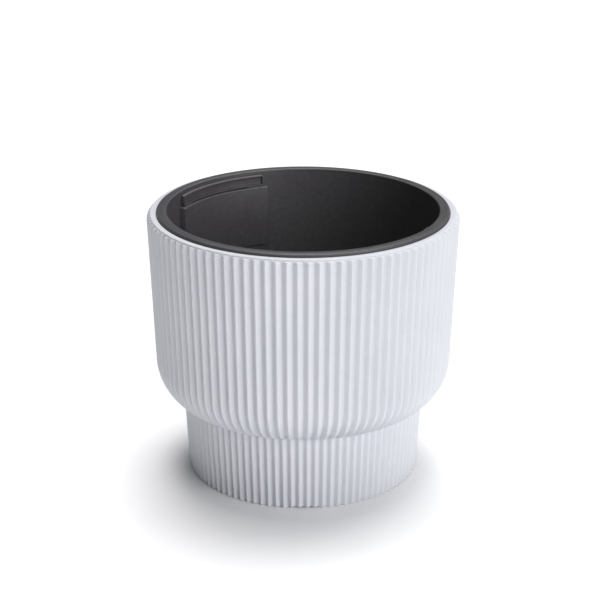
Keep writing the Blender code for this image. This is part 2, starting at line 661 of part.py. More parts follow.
def make_lid(material, collar, pin_hole, place):
    """The lid's own origin is on the hinge's axis."""
    base = FILLER_TOP + CLEARANCE - HINGE_Z
    disc = bmesh.new()
    add_cylinder(disc, collar, base, base + LID_THICK, (-HINGE_X, 0.0))
    lid = make_object("filler_lid", disc, material, place, (HINGE_X, 0.0, HINGE_Z))
    strap = bmesh.new()
    strap_length = KNUCKLE_REACH + COLLAR_WIDTH
    inner_thick = LID_THICK - 2 * LID_STEP
    add_box(strap, (strap_length, KNUCKLE_LENGTH - CLEARANCE, inner_thick),
            (-strap_length / 2, 0.0, base + LID_THICK / 2))
    tab = bmesh.new()
    add_box(tab, (LID_TAB + COLLAR_WIDTH, 2 * LID_TAB, inner_thick),
            (-HINGE_X - collar - LID_TAB / 2 + COLLAR_WIDTH / 2, 0.0, base + LID_THICK / 2))
    knuckle = bmesh.new()
    add_bar(knuckle, KNUCKLE_RADIUS, KNUCKLE_LENGTH - CLEARANCE, (0.0, 0.0, 0.0))
    for name, shape in (("lid_strap", strap), ("lid_tab", tab), ("lid_knuckle", knuckle)):
        combine(lid, make_object(name, shape, parent=lid), "UNION")
    bore = bmesh.new()
    add_bar(bore, pin_hole, 2 * KNUCKLE_LENGTH, (0.0, 0.0, 0.0))
    combine(lid, make_object("lid_pin_bore", bore, parent=lid), "DIFFERENCE")


def main():
    clear_scene()
    white = plastic("cover_white", (0.80, 0.82, 0.86), 0.45)
    anthracite = plastic("liner_anthracite", (0.045, 0.043, 0.047), 0.38)
    insert_grey = plastic("insert_grey", (0.16, 0.165, 0.17), 0.5)
    felt = plastic("wick_fibre", (0.72, 0.70, 0.64), 0.95)
    clear = plastic("gauge_clear", (0.85, 0.88, 0.9), 0.08, alpha=0.35)
    red = plastic("gauge_red", (0.55, 0.03, 0.02), 0.4)
    foam = plastic("float_foam", (0.78, 0.76, 0.70), 0.85)
    steel = plastic("pin_steel", (0.62, 0.62, 0.62), 0.3, metallic=1.0)
    rubber = plastic("seal_rubber", (0.03, 0.03, 0.03), 0.8)

    make_cover(white)
    make_drain(insert_grey, rubber)
    rear = make_place("rear_left_place", HANDLE_TURN)
    front = make_place("front_right_place", HANDLE_TURN + math.pi)
    make_liner(anthracite, (rear, front))
    make_handle("handle_rear_left", anthracite, rear)
    make_handle("handle_front_right", anthracite, front)
    make_separator(insert_grey)
    for index, place in enumerate(cup_places(), start=1):
        make_cup(index, place, insert_grey, felt)
    make_gauge(insert_grey, foam, red, clear, make_place("gauge_place", GAUGE_TURN, TUBE_ORBIT))
    make_filler(insert_grey, anthracite, steel, make_place("filler_place", FILLER_TURN, TUBE_ORBIT))


main()
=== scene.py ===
import math

import bmesh
import bpy
import numpy as np
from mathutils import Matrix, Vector


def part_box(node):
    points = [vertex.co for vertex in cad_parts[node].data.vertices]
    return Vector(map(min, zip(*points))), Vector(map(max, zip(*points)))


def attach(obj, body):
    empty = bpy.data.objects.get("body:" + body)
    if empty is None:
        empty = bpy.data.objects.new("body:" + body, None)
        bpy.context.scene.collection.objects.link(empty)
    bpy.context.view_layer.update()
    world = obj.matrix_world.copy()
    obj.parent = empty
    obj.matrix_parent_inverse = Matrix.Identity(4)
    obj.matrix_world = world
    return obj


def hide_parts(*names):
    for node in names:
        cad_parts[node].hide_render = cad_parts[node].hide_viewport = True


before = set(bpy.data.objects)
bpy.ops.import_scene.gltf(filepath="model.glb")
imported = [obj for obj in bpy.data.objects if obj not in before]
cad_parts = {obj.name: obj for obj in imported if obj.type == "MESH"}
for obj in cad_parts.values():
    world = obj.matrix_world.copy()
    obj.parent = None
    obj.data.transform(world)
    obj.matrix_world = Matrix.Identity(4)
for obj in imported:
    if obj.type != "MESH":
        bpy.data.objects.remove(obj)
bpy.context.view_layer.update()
print("frame loaded:", len(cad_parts), "nodes")

tau = math.tau
front = -math.pi / 2


# Camera, floor and lights.

cameraSet = {"side": -0.0030, "distance": 1.5687, "height": 0.7595, "tilt": 69.367, "lens": 103.05}


def addCamera():
    data = bpy.data.cameras.new("planterCamera")
    data.lens = cameraSet["lens"]
    data.sensor_width = 36.0
    camera = bpy.data.objects.new("planterCamera", data)
    camera.location = (cameraSet["side"], -cameraSet["distance"], cameraSet["height"])
    camera.rotation_euler = (math.radians(cameraSet["tilt"]), 0.0, 0.0)
    bpy.context.collection.objects.link(camera)
    bpy.context.scene.camera = camera


# each lamp: azimuth and height it comes from, strength, apparent width, all angles in degrees
lightSet = {
    "sky": (0.00, 0.18),                       # brightness of the surroundings on the left and on the right
    "skySpan": (-0.4, 1.0),                    # where along X the one passes into the other
    "skyTint": (0.97, 0.985, 1.0),
    "lamps": {
        "key": (-45.0, 15.0, 2.15, 50.0),
        "fill": (-90.0, 30.0, 0.45, 60.0),
        "top": (90.0, 80.0, 1.95, 30.0),
        "back": (75.0, 60.0, 1.50, 50.0),
    },
}


def addSun(name, azimuth, height, strength, width):
    data = bpy.data.lights.new(name, "SUN")
    data.energy = strength
    data.angle = math.radians(width)
    around, up = math.radians(azimuth), math.radians(height)
    source = Vector((math.cos(around) * math.cos(up), math.sin(around) * math.cos(up), math.sin(up)))
    lamp = bpy.data.objects.new(name, data)
    lamp.location = source * 2
    lamp.rotation_euler = source.to_track_quat("Z", "Y").to_euler()
    bpy.context.collection.objects.link(lamp)


def addSky():
    # soft surroundings, darker on the left than on the right
    world = bpy.data.worlds.new("studioSky")
    world.use_nodes = True
    bpy.context.scene.world = world
    tree = world.node_tree
    split = tree.nodes.new("ShaderNodeSeparateXYZ")
    tree.links.new(tree.nodes.new("ShaderNodeTexCoord").outputs["Generated"], split.inputs[0])
    strength = rangeOf(tree, split.outputs["X"], *lightSet["skySpan"], *lightSet["sky"])
    strength.node.interpolation_type = "SMOOTHSTEP"
    back = tree.nodes["Background"]
    back.inputs["Color"].default_value = (*lightSet["skyTint"], 1.0)
    tree.links.new(strength, back.inputs["Strength"])
    # behind the floor's far edge the studio itself is white, and this lights nothing
    backdrop = nodeOf(tree, "ShaderNodeBackground", Color=(1.0, 1.0, 1.0, 1.0))
    seen = tree.nodes.new("ShaderNodeLightPath")
    choose = tree.nodes.new("ShaderNodeMixShader")
    tree.links.new(seen.outputs["Is Camera Ray"], choose.inputs["Fac"])
    tree.links.new(back.outputs[0], choose.inputs[1])
    tree.links.new(backdrop.outputs[0], choose.inputs[2])
    tree.links.new(choose.outputs[0], tree.nodes["World Output"].inputs["Surface"])


floorSet = {"half": 12.0, "level": -0.0002}


def addFloor(material):
    # a sheet z = level over a square, just under what stands on it
    half, level = floorSet["half"], floorSet["level"]
    corners = [(-half, -half, level), (half, -half, level), (half, half, level), (-half, half, level)]
    mesh = bpy.data.meshes.new("studioFloor")
    mesh.from_pydata(corners, [], [(0, 1, 2, 3)])
    mesh.materials.append(material)
    floor = bpy.data.objects.new("studioFloor", mesh)
    bpy.context.collection.objects.link(floor)


# Mesh helpers: every surface is a numpy grid of points, rows by columns.

hair = 0.00003                                       # keeps shells that will be joined from sharing a face


def roundOff(corners, steps=4, closed=True):
    # corner (u, v, fillet) -> arc: centre = corner + bisector * fillet / sin(half), swept from side to side
    points = []
    last = len(corners) - 1
    for index, (u, v, fillet) in enumerate(corners):
        here = np.array((u, v), float)
        before = np.array(corners[index - 1][:2]) - here
        after = np.array(corners[(index + 1) % len(corners)][:2]) - here
        if fillet == 0 or (not closed and index in (0, last)):
            points.append(here[None])
            continue
        lengthBefore, lengthAfter = np.linalg.norm(before), np.linalg.norm(after)
        before, after = before / lengthBefore, after / lengthAfter
        half = math.acos(np.clip(before @ after, -1, 1)) / 2
        cut = min(fillet / math.tan(half), 0.49 * lengthBefore, 0.49 * lengthAfter)
        bisector = (before + after) / np.linalg.norm(before + after)
        centre = here + bisector * cut / math.cos(half)
        start, end = here + before * cut - centre, here + after * cut - centre
        t = np.linspace(0, 1, steps + 1)[:, None]
        sweep = math.pi - 2 * half
        points.append(centre + (np.sin((1 - t) * sweep) * start + np.sin(t * sweep) * end) / math.sin(sweep))
    return np.concatenate(points)


def turned(profile, columns=96, at=(0.0, 0.0)):
    # (radius, z) -> (radius cos turn + x, radius sin turn + y, z)
    turn = np.arange(columns) * tau / columns
    radius, z = profile[:, :1], profile[:, 1:2]
    return np.stack([radius * np.cos(turn) + at[0], radius * np.sin(turn) + at[1], z + 0 * turn], axis=-1)


def gridFaces(rows, columns, loopRows, first=0):
    # quad (i, j), (i+1, j), (i+1, j+1), (i, j+1), with the columns closed into a ring
    i = np.arange(rows if loopRows else rows - 1)[:, None]
    j = np.arange(columns)[None, :]
    i2, j2 = (i + 1) % rows, (j + 1) % columns
    quads = np.stack([i * columns + j, i2 * columns + j, i2 * columns + j2, i * columns + j2], axis=-1)
    return (quads.reshape(-1, 4) + first).tolist()


def buildMesh(name, shells, angle=32.0):
    # shells: (grid, how it closes): "loop" joins its last row to its first, "pole" shrinks to a point at both
    # ends, "cap" gets a flat face at both ends
    points, faces, first = [], [], 0
    for grid, closing in shells:
        rows, columns = grid.shape[:2]
        points.append(grid.reshape(-1, 3))
        faces += gridFaces(rows, columns, closing == "loop", first)
        if closing == "cap":
            faces.append(list(range(first, first + columns)))
            faces.append(list(range(first + (rows - 1) * columns, first + rows * columns)))
        first += rows * columns
    mesh = bpy.data.meshes.new(name)
    mesh.from_pydata(np.concatenate(points).tolist(), [], faces)
    tidyMesh(mesh, angle)
    return mesh


def tidyMesh(mesh, angle=32.0):
    bm = bmesh.new()
    bm.from_mesh(mesh)
    bmesh.ops.remove_doubles(bm, verts=bm.verts[:], dist=2e-6)
    bmesh.ops.dissolve_degenerate(bm, edges=bm.edges[:], dist=1e-7)
    bmesh.ops.recalc_face_normals(bm, faces=bm.faces[:])
    bm.to_mesh(mesh)
    bm.free()
    mesh.shade_smooth()
    mesh.set_sharp_from_angle(angle=math.radians(angle))


def addObject(name, mesh):
    thing = bpy.data.objects.new(name, mesh)
    bpy.context.collection.objects.link(thing)
    return thing


def addPiece(name, *shells):
    # object at the origin with its place in its mesh
    return addObject(name, buildMesh(name, shells))


def carve(thing, shells, operation="DIFFERENCE"):
    # Boolean with a tool made of shells, applied to the mesh
    tool = addObject("tool", buildMesh("tool", shells))
    step = thing.modifiers.new("carve", "BOOLEAN")
    step.operation, step.solver, step.object = operation, "EXACT", tool
    graph = bpy.context.evaluated_depsgraph_get()
    mesh = bpy.data.meshes.new_from_object(thing.evaluated_get(graph))
    thing.modifiers.remove(step)
    thing.data = mesh
    bpy.data.objects.remove(tool, do_unlink=True)
    tidyMesh(mesh)


def join(thing, *shells):
    # one Boolean for each closed shell, because they overlap one another
    for rings in shells:
        carve(thing, [(rings, "cap")], "UNION")


# wear shows where an edge is sharp and its faces are small; painted light: the liner's inside below its rim
# gets a lighter tone than its outside
wearAndInsideLightSet = {
    "bendFrom": 0.08, "bendSpan": 0.22, "small": 0.005, "below": 0.2630, "fade": 0.0008, "within": 0.1312,
}


def markPoints(mesh):
    # point attributes: edge (wear) = clip((bend - bendFrom) / bendSpan) clip(small / longest edge), with bend
    # the sharpest outward angle in radians; inside (painted light inside the liner) = clip((below - z) /
    # fade) where r < within
    bm = bmesh.new()
    bm.from_mesh(mesh)
    bends, longest = [], []
    for vert in bm.verts:
        bends.append(max((edge.calc_face_angle_signed(0.0) for edge in vert.link_edges), default=0.0))
        longest.append(max((edge.calc_length() for edge in vert.link_edges), default=1.0))
    bm.free()
    points = np.empty(len(mesh.vertices) * 3, np.float32)
    mesh.vertices.foreach_get("co", points)
    x, y, z = points.reshape(-1, 3).T
    near = np.clip(wearAndInsideLightSet["small"] / np.array(longest, np.float32), 0, 1)
    sharp = np.clip((np.array(bends, np.float32) - wearAndInsideLightSet["bendFrom"]) / wearAndInsideLightSet["bendSpan"], 0, 1)
    deep = np.clip((wearAndInsideLightSet["below"] - z) / wearAndInsideLightSet["fade"], 0, 1)
    values = {"edge": sharp * near, "inside": deep * (np.hypot(x, y) < wearAndInsideLightSet["within"])}
    for name, value in values.items():
        mesh.attributes.new(name, "FLOAT", "POINT").data.foreach_set("value", value.astype(np.float32))


def finishPiece(thing, finish, body, *nodes):
    # wear and painted light marks, material, the body it moves with and the CAD nodes it stands for
    markPoints(thing.data)
    thing.data.materials.clear()
    thing.data.materials.append(materials[finish])
    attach(thing, body)
    if nodes:
        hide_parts(*nodes)


def oblong(left, low, right, high, fillet):
    # a rectangle's corners (u, v, fillet), anticlockwise
    return [(left, low, fillet), (right, low, fillet), (right, high, fillet), (left, high, fillet)]


def loopNormals(loop):
    # tangent = next - previous, turned a quarter to the outside of an anticlockwise loop
    tangent = np.roll(loop, -1, axis=0) - np.roll(loop, 1, axis=0)
    tangent /= np.linalg.norm(tangent, axis=1)[:, None]
    return np.stack([tangent[:, 1], -tangent[:, 0]], axis=1)


def plate(corners, low, high, edge, steps=3, rows=0):
    # rings of one (u, v) outline through the thickness w, drawn in by edge * (1 - sin turn) at both faces
    loop = roundOff(corners, steps)
    area = np.sum(loop[:, 0] * np.roll(loop[:, 1], -1) - loop[:, 1] * np.roll(loop[:, 0], -1))
    loop = loop if area > 0 else loop[::-1]
    normals = loopNormals(loop)
    turn = np.linspace(0, math.pi / 2, 4)
    inset, rise = edge * (1 - np.sin(turn)), edge * (1 - np.cos(turn))
    between = np.linspace(low + edge, high - edge, rows + 2)[1:-1]
    depth = np.concatenate([low + rise, between, high - rise[::-1]])
    inset = np.concatenate([inset, 0 * between, inset[::-1]])
    flat = loop[None] - normals[None] * inset[:, None, None]
    return np.concatenate([flat, np.broadcast_to(depth[:, None, None], flat.shape[:2] + (1,))], axis=-1)


def bend(rings, radius, turn=0.0):
    # (r, z, arc) -> (r cos a, r sin a, z), a = arc / radius + turn
    angle = rings[..., 2] / radius + turn
    return np.stack([rings[..., 0] * np.cos(angle), rings[..., 0] * np.sin(angle), rings[..., 1]], axis=-1)


def disc(radius, low, high, edge, columns=48):
    # rings of a circle through w, its two edges rounded: radius - edge (1 - sin turn)
    around = np.arange(columns) * tau / columns
    turn = np.linspace(0, math.pi / 2, 4)
    reach = radius - edge * (1 - np.sin(turn))
    rise = edge * (1 - np.cos(turn))
    reach = np.concatenate([reach, reach[::-1]])[:, None]
    depth = np.concatenate([low + rise, high - rise[::-1]])[:, None]
    return np.stack([reach * np.cos(around), reach * np.sin(around), depth + 0 * around], axis=-1)


upright = ((1, 0, 0), (0, 1, 0), (0, 0, 1))          # u, v, w -> x, y, z
lying = ((1, 0, 0), (0, 0, 1), (0, 1, 0))            # w along y
facing = ((0, 1, 0), (0, 0, 1), (1, 0, 0))           # w along x


def place(rings, axes, origin=(0, 0, 0), turn=0.0):
    # local (u, v, w) -> origin + u a + v b + w c, then turned about Z
    moved = rings @ np.array(axes, float) + np.array(origin, float)
    c, s = math.cos(turn), math.sin(turn)
    return moved @ np.array([[c, s, 0], [-s, c, 0], [0, 0, 1]])


def onCircle(orbit, turn):
    return orbit * math.cos(turn), orbit * math.sin(turn)


crossed = (math.pi / 4, 3 * math.pi / 4)             # turns of two windows pushed right through a round wall


def hole(radius, low, high, at, columns=48):
    # cutter: an upright cylinder (radius cos turn, radius sin turn) from low to high
    ring = turned(np.array([(radius, low), (radius, high)]), columns, at)
    return ring, "cap"


def window(width, low, high, reach, at, turn):
    # cutter: a rounded opening (u, z) pushed through along its own X to both sides
    half, fillet = width / 2, min(0.0012, 0.45 * width)
    rings = plate(oblong(-half, low, half, high, fillet), -reach, reach, 0.0)
    return place(rings, facing, turn=turn) + np.array((*at, 0.0)), "cap"


def slotHole(length, width, low, high, orbit, turn):
    # cutter: an upright slot with round ends, its length along the radius
    x, y = length / 2, width / 2
    outline = oblong(-x, -y, x, y, 0.49 * width)
    return place(plate(outline, low, high, 0.0, 6), upright, (orbit, 0, 0), turn), "cap"


# Materials.

def nodeOf(tree, kind, **inputs):
    node = tree.nodes.new(kind)
    for name, value in inputs.items():
        node.inputs[name.replace("_", " ")].default_value = value
    return node


def patternOf(tree, coords, scale, detail=3.0, roughness=0.55, stretch=(1, 1, 1)):
    source = coords
    if stretch != (1, 1, 1):
        mapping = nodeOf(tree, "ShaderNodeMapping", Scale=stretch)
        tree.links.new(coords, mapping.inputs["Vector"])
        source = mapping.outputs["Vector"]
    noise = nodeOf(tree, "ShaderNodeTexNoise", Scale=scale, Detail=detail, Roughness=roughness)
    tree.links.new(source, noise.inputs["Vector"])
    return noise.outputs["Fac"]


def rangeOf(tree, value, fromLow, fromHigh, low, high):
    node = nodeOf(tree, "ShaderNodeMapRange")
    for name, number in zip(("From Min", "From Max", "To Min", "To Max"), (fromLow, fromHigh, low, high)):
        node.inputs[name].default_value = number
    tree.links.new(value, node.inputs["Value"])
    return node.outputs["Result"]


def blendOf(tree, factor, first, second):
    # colour mix; first and second are colours or sockets
    node = tree.nodes.new("ShaderNodeMix")
    node.data_type = "RGBA"
    tree.links.new(factor, node.inputs[0])
    for socket, value in ((node.inputs[6], first), (node.inputs[7], second)):
        if isinstance(value, tuple):
            socket.default_value = (*value, 1.0)
        else:
            tree.links.new(value, socket)
    return node.outputs[2]


def mouldedPlastic(name, look):
    # satin plastic: cloudy tone, fine grain in the surface, soft smears in the gloss, scuffs, and marks from
    # point attributes: painted shade in the rib grooves, painted highlight on the rib crests, painted light
    # inside the liner, wear on sharp edges
    look = {**commonLook, **look}
    material = bpy.data.materials.new(name)
    material.use_nodes = True
    tree = material.node_tree
    shader = tree.nodes["Principled BSDF"]
    shader.inputs["IOR"].default_value = 1.49
    shader.inputs["Metallic"].default_value = look["metallic"]
    shader.inputs["Transmission Weight"].default_value = look["transmission"]
    coords = tree.nodes.new("ShaderNodeTexCoord").outputs["Object"]
    cloud = patternOf(tree, coords, look["cloudScale"], 4.0)
    colour = blendOf(tree, rangeOf(tree, cloud, 0.35, 0.65, 0.0, 1.0), look["dark"], look["light"])
    speck = patternOf(tree, coords, look["speckScale"], 2.0, 0.7)
    colour = blendOf(tree, rangeOf(tree, speck, 0.60, 0.78, 0.0, look["specks"]), colour, look["speckTone"])
    scuff = patternOf(tree, coords, look["scuffScale"], 6.0, 0.72, look["scuffStretch"])
    scuffs = rangeOf(tree, scuff, 0.60, 0.74, 0.0, look["scuffs"])
    colour = blendOf(tree, scuffs, colour, look["scuffTone"])
    # each mark mixes in its tone: painted shade in rib grooves, painted highlight on rib crests, painted
    # light inside the liner, wear on edges
    for attribute, tone, share in look["marks"]:
        mark = tree.nodes.new("ShaderNodeAttribute")
        mark.attribute_name = attribute
        uneven = patternOf(tree, coords, look["speckScale"] / 3, 3.0)
        amount = tree.nodes.new("ShaderNodeMath")
        amount.operation = "MULTIPLY"
        tree.links.new(rangeOf(tree, mark.outputs["Fac"], 0.0, 1.0, 0.0, share), amount.inputs[0])
        tree.links.new(rangeOf(tree, uneven, 0.3, 0.7, 0.5, 1.0), amount.inputs[1])
        colour = blendOf(tree, amount.outputs[0], colour, tone)
    tree.links.new(colour, shader.inputs["Base Color"])
    smear = patternOf(tree, coords, look["smearScale"], 5.0, 0.6)
    gloss = rangeOf(tree, smear, 0.3, 0.7, *look["roughness"])
    tree.links.new(gloss, shader.inputs["Roughness"])
    grain = patternOf(tree, coords, look["grainScale"], 2.0, 0.6)
    bump = nodeOf(tree, "ShaderNodeBump", Strength=look["grain"], Distance=look["grainDepth"])
    tree.links.new(grain, bump.inputs["Height"])
    tree.links.new(bump.outputs["Normal"], shader.inputs["Normal"])
    return material


commonLook = {"scuffStretch": (1.0, 1.0, 1.0), "marks": (), "metallic": 0.0, "transmission": 0.0}
coverLook = {
    "dark": (0.572, 0.583, 0.632), "light": (0.600, 0.609, 0.654), "cloudScale": 14.0,
    "speckScale": 900.0, "specks": 0.10, "speckTone": (0.44, 0.45, 0.47),
    "scuffScale": 60.0, "scuffStretch": (1.0, 1.0, 0.12), "scuffs": 0.06, "scuffTone": (0.48, 0.49, 0.51),
    # groove: painted shade in the rib valleys; crest: painted highlight on the rib crests
    "marks": (("groove", (0.480, 0.492, 0.535), 0.55), ("crest", (0.64, 0.645, 0.67), 0.35)),
    "smearScale": 22.0, "roughness": (0.40, 0.52), "grainScale": 1500.0, "grain": 0.25, "grainDepth": 0.00012,
}
linerLook = {
    "dark": (0.0415, 0.0392, 0.0418), "light": (0.0490, 0.0460, 0.0494), "cloudScale": 18.0,
    "speckScale": 700.0, "specks": 0.25, "speckTone": (0.14, 0.14, 0.145),
    "scuffScale": 45.0, "scuffStretch": (1.0, 1.0, 0.10), "scuffs": 0.10, "scuffTone": (0.13, 0.13, 0.135),
    # inside: painted light, a lighter tone over the liner's inside below its rim; edge: wear on sharp edges
    "marks": (("inside", (0.082, 0.077, 0.0825), 1.0), ("edge", (0.13, 0.13, 0.134), 0.22)),
    "smearScale": 30.0, "roughness": (0.36, 0.50), "grainScale": 1700.0, "grain": 0.3, "grainDepth": 0.00012,
}
insertLook = {
    "dark": (0.150, 0.155, 0.160), "light": (0.178, 0.183, 0.190), "cloudScale": 30.0,
    "speckScale": 800.0, "specks": 0.20, "speckTone": (0.26, 0.26, 0.27),
    "scuffScale": 70.0, "scuffStretch": (1.0, 1.0, 0.25), "scuffs": 0.12, "scuffTone": (0.25, 0.255, 0.26),
    "smearScale": 40.0, "roughness": (0.46, 0.60), "grainScale": 1800.0, "grain": 0.35, "grainDepth": 0.00012,
}
redLook = {
    "dark": (0.50, 0.022, 0.016), "light": (0.62, 0.035, 0.025), "cloudScale": 90.0,
    "speckScale": 1500.0, "specks": 0.15, "speckTone": (0.70, 0.10, 0.08),
    "scuffScale": 200.0, "scuffStretch": (1.0, 1.0, 0.3), "scuffs": 0.15, "scuffTone": (0.70, 0.20, 0.17),
    "smearScale": 120.0, "roughness": (0.28, 0.42), "grainScale": 2500.0, "grain": 0.2, "grainDepth": 0.00006,
}
foamLook = {
    "dark": (0.70, 0.68, 0.62), "light": (0.82, 0.80, 0.74), "cloudScale": 120.0,
    "speckScale": 1400.0, "specks": 0.55, "speckTone": (0.52, 0.50, 0.44),
    "scuffScale": 160.0, "scuffs": 0.2, "scuffTone": (0.62, 0.58, 0.50),
    "smearScale": 200.0, "roughness": (0.80, 0.95), "grainScale": 1400.0, "grain": 0.9, "grainDepth": 0.0004,
}
rubberLook = {
    "dark": (0.020, 0.020, 0.021), "light": (0.032, 0.032, 0.033), "cloudScale": 80.0,
    "speckScale": 1200.0, "specks": 0.25, "speckTone": (0.08, 0.08, 0.08),
    "scuffScale": 150.0, "scuffs": 0.25, "scuffTone": (0.07, 0.07, 0.07),
    "smearScale": 150.0, "roughness": (0.70, 0.88), "grainScale": 2200.0, "grain": 0.5, "grainDepth": 0.0001,
}
floorLook = {
    "dark": (0.93, 0.93, 0.935), "light": (0.95, 0.95, 0.955), "cloudScale": 2.0,
    "speckScale": 300.0, "specks": 0.0, "speckTone": (0.85, 0.85, 0.85),
    "scuffScale": 8.0, "scuffs": 0.0, "scuffTone": (0.85, 0.85, 0.85),
    "smearScale": 3.0, "roughness": (0.55, 0.62), "grainScale": 400.0, "grain": 0.05, "grainDepth": 0.0002,
}
fibreLook = {
    "dark": (0.60, 0.57, 0.49), "light": (0.78, 0.75, 0.67), "cloudScale": 240.0,
    "speckScale": 1800.0, "specks": 0.5, "speckTone": (0.45, 0.42, 0.35),
    "scuffScale": 500.0, "scuffStretch": (1.0, 1.0, 0.15), "scuffs": 0.5, "scuffTone": (0.50, 0.46, 0.38),
    "smearScale": 200.0, "roughness": (0.88, 1.0), "grainScale": 2600.0, "grain": 0.9, "grainDepth": 0.0003,
}
clearLook = {
    "dark": (0.90, 0.94, 0.95), "light": (0.95, 0.97, 0.975), "cloudScale": 60.0,
    "speckScale": 1200.0, "specks": 0.05, "speckTone": (0.80, 0.84, 0.86),
    "scuffScale": 260.0, "scuffStretch": (1.0, 1.0, 0.1), "scuffs": 0.08, "scuffTone": (0.82, 0.85, 0.87),
    "smearScale": 90.0, "roughness": (0.03, 0.14), "grainScale": 1500.0, "grain": 0.04, "grainDepth": 0.00005,
    "transmission": 0.92,
}
steelLook = {
    "dark": (0.50, 0.50, 0.51), "light": (0.66, 0.66, 0.67), "cloudScale": 300.0,
    "speckScale": 2500.0, "specks": 0.2, "speckTone": (0.35, 0.33, 0.31),
    "scuffScale": 900.0, "scuffStretch": (1.0, 0.1, 1.0), "scuffs": 0.3, "scuffTone": (0.80, 0.80, 0.81),
    "smearScale": 400.0, "roughness": (0.18, 0.36),
    "grainScale": 3000.0, "grain": 0.15, "grainDepth": 0.00004, "metallic": 1.0,
}
# each finish: material, look, and the record's slot that it stands for
finishes = {
    "cover": ("coolWhiteSatin", coverLook, "cover_plastic"),
    "liner": ("anthraciteSatin", linerLook, "liner_plastic"),
    "insert": ("insertGrey", insertLook, "insert_plastic"),
    "red": ("flagRed", redLook, "gauge_red"),
    "foam": ("floatFoam", foamLook, "float_foam"),
    "rubber": ("sealRubber", rubberLook, "seal_rubber"),
    "fibre": ("wickFibre", fibreLook, "wick_fibre"),
    "clear": ("gaugeClear", clearLook, "gauge_clear"),
    "steel": ("pinSteel", steelLook, "pin_steel"),
    "floor": ("studioWhite", floorLook, None),
}
materials = {finish: mouldedPlastic(name, look) for finish, (name, look, _) in finishes.items()}
print("materials made")

bpy.context.scene.view_settings.view_transform = "Standard"
addCamera()
addFloor(materials["floor"])
addSky()
for lampName, lamp in lightSet["lamps"].items():
    addSun(lampName + "Light", *lamp)


# Cover pot: a turned shell whose outside is pleated into ribs.

coverSize = {
    "ribs": 96, "ribDepth": 0.0030, "crestRound": 0.22, "valleyRound": 0.30,
    "lipSetback": 0.0034, "lipRound": 0.0009, "band": 0.0016, "ribEnd": 0.0040,
    "taper": 2.24, "cornerAcross": 0.0413, "cornerDown": 0.0450,
    "footHeight": 0.0735, "footInset": 0.0320, "footTaper": 3.3, "creaseRound": 0.0012, "footEdge": 0.0007,
    "skin": 0.0056, "seatRadius": 0.1405, "seatDrop": 0.0039, "seatWidth": 0.0052, "seatThick": 0.0040,
    "seatFlare": 0.0070, "floorBase": 0.0100, "floorTop": 0.0128, "drainRadius": 0.0090,
    "notches": 4, "notchWidth": 0.0290, "notchHeight": 0.0012, "notchSide": 0.0014,
    "notchFade": (0.0015, 0.0070),
    "innerStart": 0.932,                       # share of cornerDown at which the bowl starts inside
}


def ribWave(ribs, crestRound, valleyRound):
    # triangle wave 1 - |t| over each rib, its crest and valley rounded by parabolas, scaled to 0..1
    t = np.array([-1.0, -0.85, -0.70, -0.22, -0.10, 0.0, 0.10, 0.22, 0.70, 0.85])
    away = np.abs(t)
    wave = 1 - away
    wave = np.where(away < crestRound, 1 - (away ** 2 / crestRound + crestRound) / 2, wave)
    wave = np.where(1 - away < valleyRound, ((1 - away) ** 2 / valleyRound + valleyRound) / 2, wave)
    wave = (wave - valleyRound / 2) / (1 - crestRound / 2 - valleyRound / 2)
    turn = (np.arange(ribs)[:, None] + (t + 1)[None, :] / 2).ravel() * tau / ribs
    return turn, np.tile(wave, ribs)


def coverOutside(size, top, crest):
    # rows of (radius, z, sink direction, how far the ribs have risen) from the lip down to the foot's edge:
    # wall radius = crest - (top - z) tan taper, corner = part of an ellipse, foot tapered like the wall;
    # the loop finds the start at which the corner's end meets the foot
    slope, footSlope = math.tan(math.radians(size["taper"])), math.tan(math.radians(size["footTaper"]))
    lip = crest - size["lipSetback"]
    bandEnd = top - size["band"]
    share = np.array([0.0, 0.06, 0.16, 0.32, 0.52, 0.75, 1.0])
    rise = np.sqrt(1 - (1 - share) ** 2)
    endZ = bandEnd - share * size["ribEnd"]
    endRadius = (1 - rise) * lip + rise * (crest - (top - endZ) * slope)
    start = size["footHeight"] + size["cornerDown"]
    footTop = crest - size["footInset"]
    for _ in range(20):
        reach = (footTop - (crest - (top - start) * slope)) / size["cornerAcross"] + 1
        start = size["footHeight"] + size["cornerDown"] * math.sqrt(1 - reach ** 2)
    centre = crest - (top - start) * slope - size["cornerAcross"]
    wallZ = np.linspace(endZ[-1], start, 6)[1:-1]
    turn = np.linspace(0, math.acos((footTop - centre) / size["cornerAcross"]), 18)
    cornerRadius = centre + size["cornerAcross"] * np.cos(turn)
    cornerZ = start - size["cornerDown"] * np.sin(turn)
    crease = roundOff([(cornerRadius[-2], cornerZ[-2], 0), (footTop, size["footHeight"], size["creaseRound"]),
                       (footTop - 0.02 * footSlope, size["footHeight"] - 0.02, 0)], 3, closed=False)[1:-1]
    footZ = np.linspace(crease[-1, 1], size["footEdge"], 5)[1:]
    footRadius = footTop - (size["footHeight"] - footZ) * footSlope
    wallRadius = crest - (top - wallZ) * slope
    radius = np.concatenate([endRadius, wallRadius, cornerRadius[:-1], crease[:, 0], footRadius])
    z = np.concatenate([endZ, wallZ, cornerZ[:-1], crease[:, 1], footZ])
    risen = np.concatenate([rise, np.ones(len(z) - len(rise))])
    tangent = np.gradient(np.column_stack([radius, z]), axis=0)
    normal = np.column_stack([-tangent[:, 1], tangent[:, 0]])
    normal /= np.linalg.norm(normal, axis=1)[:, None]
    level = (z > start) | (z < crease[-1, 1])
    normal[level] = (1.0, 0.0)
    return radius, z, normal, risen


